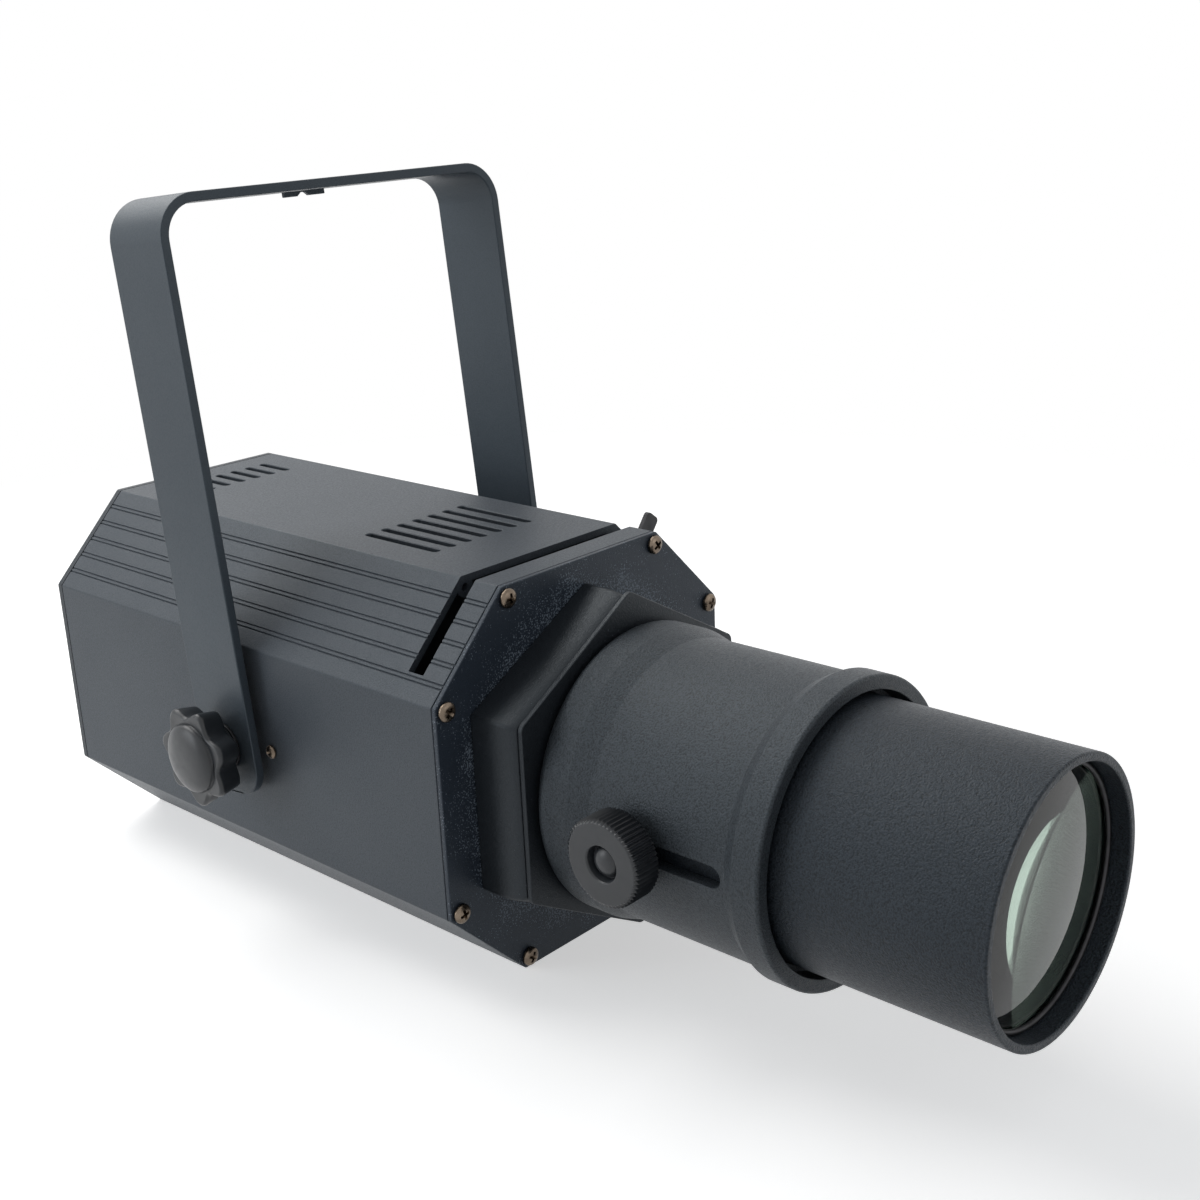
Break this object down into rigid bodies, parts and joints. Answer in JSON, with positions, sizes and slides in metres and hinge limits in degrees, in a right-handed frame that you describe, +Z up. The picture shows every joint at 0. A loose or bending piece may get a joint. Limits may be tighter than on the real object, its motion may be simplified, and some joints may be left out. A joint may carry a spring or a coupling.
{
  "type": "profile spotlight",
  "caption": "Stage profile spotlight: eight-sided body, round barrel with sliding lens tube, iris lever, U-shaped yoke with star knobs.",
  "frame": {"origin": "on the housing's flat underside, straight below the pivot that the yoke turns about", "axes": "+X to the right seen from the lens end, along the yoke's pivot; the beam leaves along -Y; +Z up from the flat underside"},
  "size_m": [0.227, 0.4961, 0.3144],
  "materials": {
    "powder_coat": "dark grey powder coat, fine texture",
    "dark_coat": "near-black powder coat, fine speckle",
    "barrel_coat": "dark grey powder coat, orange peel",
    "black_plastic": "satin moulded",
    "screw_metal": "warm zinc plating",
    "bright_metal": "plain mill finish",
    "black_metal": "blackened, matt",
    "lens_glass": "clear with a green edge tint",
    "board_white": "white solder mask"
  },
  "bodies": {
    "housing": {"housing_extrusion": "powder_coat", "front_plate": "dark_coat", "front_screw_1": "screw_metal", "front_screw_2": "screw_metal", "front_screw_3": "screw_metal", "front_screw_4": "screw_metal", "front_screw_5": "screw_metal", "front_screw_6": "screw_metal", "front_screw_7": "screw_metal", "front_screw_8": "screw_metal", "rear_panel": "dark_coat", "rear_screw_1": "screw_metal", "rear_screw_2": "screw_metal", "rear_screw_3": "screw_metal", "rear_screw_4": "screw_metal", "hex_hood": "dark_coat", "barrel_flange": "dark_coat", "barrel": "barrel_coat", "pivot_bush_left": "bright_metal", "pivot_bush_right": "bright_metal", "side_screw_left": "screw_metal", "side_screw_right": "screw_metal", "gate_plate": "black_metal", "iris_cassette": "black_metal", "iris_cover": "black_metal", "optics_frame": "bright_metal", "condenser_lens": "lens_glass", "lens_clip_ring": "bright_metal", "led_board": "board_white", "heat_sink": "bright_metal", "fan_frame": "black_plastic", "led_driver": "bright_metal", "mains_inlet": "black_plastic", "switch_frame": "black_plastic", "dimmer": "bright_metal"},
    "yoke": {"yoke_bracket": "dark_coat", "knob_washer_left": "bright_metal", "knob_washer_right": "bright_metal"},
    "knob_left": {"star_knob_left": "black_plastic"},
    "knob_right": {"star_knob_right": "black_plastic"},
    "lens_tube": {"lens_tube": "barrel_coat", "front_lens": "lens_glass", "retaining_ring": "black_metal", "rear_lens": "lens_glass", "rear_lens_ring": "black_metal"},
    "focus_screw": {"thumb_screw": "black_plastic"},
    "iris_ring": {"iris_ring": "black_metal"},
    "leaf_1": {"iris_leaf_1": "black_metal"},
    "leaf_2": {"iris_leaf_2": "black_metal"},
    "leaf_3": {"iris_leaf_3": "black_metal"},
    "leaf_4": {"iris_leaf_4": "black_metal"},
    "leaf_5": {"iris_leaf_5": "black_metal"},
    "leaf_6": {"iris_leaf_6": "black_metal"},
    "leaf_7": {"iris_leaf_7": "black_metal"},
    "leaf_8": {"iris_leaf_8": "black_metal"},
    "fan": {"fan_rotor": "black_plastic"},
    "rocker": {"switch_rocker": "black_plastic"},
    "dimmer": {"dimmer_knob": "black_plastic"}
  },
  "joints": [
    {"name": "yoke_tilt", "type": "hinge", "parent": "housing", "child": "yoke", "pos_m": [0, 0, 0.0834], "axis": [1, 0, 0], "range_deg": [-100, 74]},
    {"name": "star_knob_left_turn", "type": "hinge", "parent": "yoke", "child": "knob_left", "pos_m": [-0.0942, 0, 0.0834], "axis": [-1, 0, 0], "range_deg": [0, 360]},
    {"name": "star_knob_right_turn", "type": "hinge", "parent": "yoke", "child": "knob_right", "pos_m": [0.0942, 0, 0.0834], "axis": [1, 0, 0], "range_deg": [0, 360]},
    {"name": "focus_slide", "type": "slide", "parent": "housing", "child": "lens_tube", "axis": [0, -1, 0], "range_m": [0, 0.037]},
    {"name": "focus_screw_turn", "type": "hinge", "parent": "lens_tube", "child": "focus_screw", "pos_m": [0, -0.2016, 0.0834], "axis": [-1, 0, -0.0087], "range_deg": [0, 360]},
    {"name": "iris_turn", "type": "hinge", "parent": "housing", "child": "iris_ring", "pos_m": [0, -0.11055, 0.0834], "axis": [0, -1, 0], "range_deg": [-12, 88]},
    {"name": "leaf_1_swing", "type": "hinge", "parent": "housing", "child": "leaf_1", "pos_m": [0.0455, -0.107, 0.0834], "axis": [0, -1, 0], "range_deg": [-3.4, 24.7]},
    {"name": "leaf_2_swing", "type": "hinge", "parent": "housing", "child": "leaf_2", "pos_m": [0.03217, -0.107, 0.11557], "axis": [0, -1, 0], "range_deg": [-3.4, 24.7]},
    {"name": "leaf_3_swing", "type": "hinge", "parent": "housing", "child": "leaf_3", "pos_m": [0, -0.107, 0.1289], "axis": [0, -1, 0], "range_deg": [-3.4, 24.7]},
    {"name": "leaf_4_swing", "type": "hinge", "parent": "housing", "child": "leaf_4", "pos_m": [-0.03217, -0.107, 0.11557], "axis": [0, -1, 0], "range_deg": [-3.4, 24.7]},
    {"name": "leaf_5_swing", "type": "hinge", "parent": "housing", "child": "leaf_5", "pos_m": [-0.0455, -0.107, 0.0834], "axis": [0, -1, 0], "range_deg": [-3.4, 24.7]},
    {"name": "leaf_6_swing", "type": "hinge", "parent": "housing", "child": "leaf_6", "pos_m": [-0.03217, -0.107, 0.05123], "axis": [0, -1, 0], "range_deg": [-3.4, 24.7]},
    {"name": "leaf_7_swing", "type": "hinge", "parent": "housing", "child": "leaf_7", "pos_m": [0, -0.107, 0.0379], "axis": [0, -1, 0], "range_deg": [-3.4, 24.7]},
    {"name": "leaf_8_swing", "type": "hinge", "parent": "housing", "child": "leaf_8", "pos_m": [0.03217, -0.107, 0.05123], "axis": [0, -1, 0], "range_deg": [-3.4, 24.7]},
    {"name": "fan_spin", "type": "hinge", "parent": "housing", "child": "fan", "pos_m": [0, 0.1243, 0.1014], "axis": [0, 1, 0], "continuous": true},
    {"name": "switch_rock", "type": "hinge", "parent": "housing", "child": "rocker", "pos_m": [0.002, 0.1378, 0.0284], "axis": [1, 0, 0], "range_deg": [0, 16]},
    {"name": "dimmer_turn", "type": "hinge", "parent": "housing", "child": "dimmer", "pos_m": [0.034, 0.1393, 0.0284], "axis": [0, 1, 0], "range_deg": [-135, 135]}
  ],
  "couplings": [
    {"joint": "leaf_1_swing", "follows": "iris_turn", "ratio": 0.28},
    {"joint": "leaf_2_swing", "follows": "iris_turn", "ratio": 0.28},
    {"joint": "leaf_3_swing", "follows": "iris_turn", "ratio": 0.28},
    {"joint": "leaf_4_swing", "follows": "iris_turn", "ratio": 0.28},
    {"joint": "leaf_5_swing", "follows": "iris_turn", "ratio": 0.28},
    {"joint": "leaf_6_swing", "follows": "iris_turn", "ratio": 0.28},
    {"joint": "leaf_7_swing", "follows": "iris_turn", "ratio": 0.28},
    {"joint": "leaf_8_swing", "follows": "iris_turn", "ratio": 0.28}
  ]
}
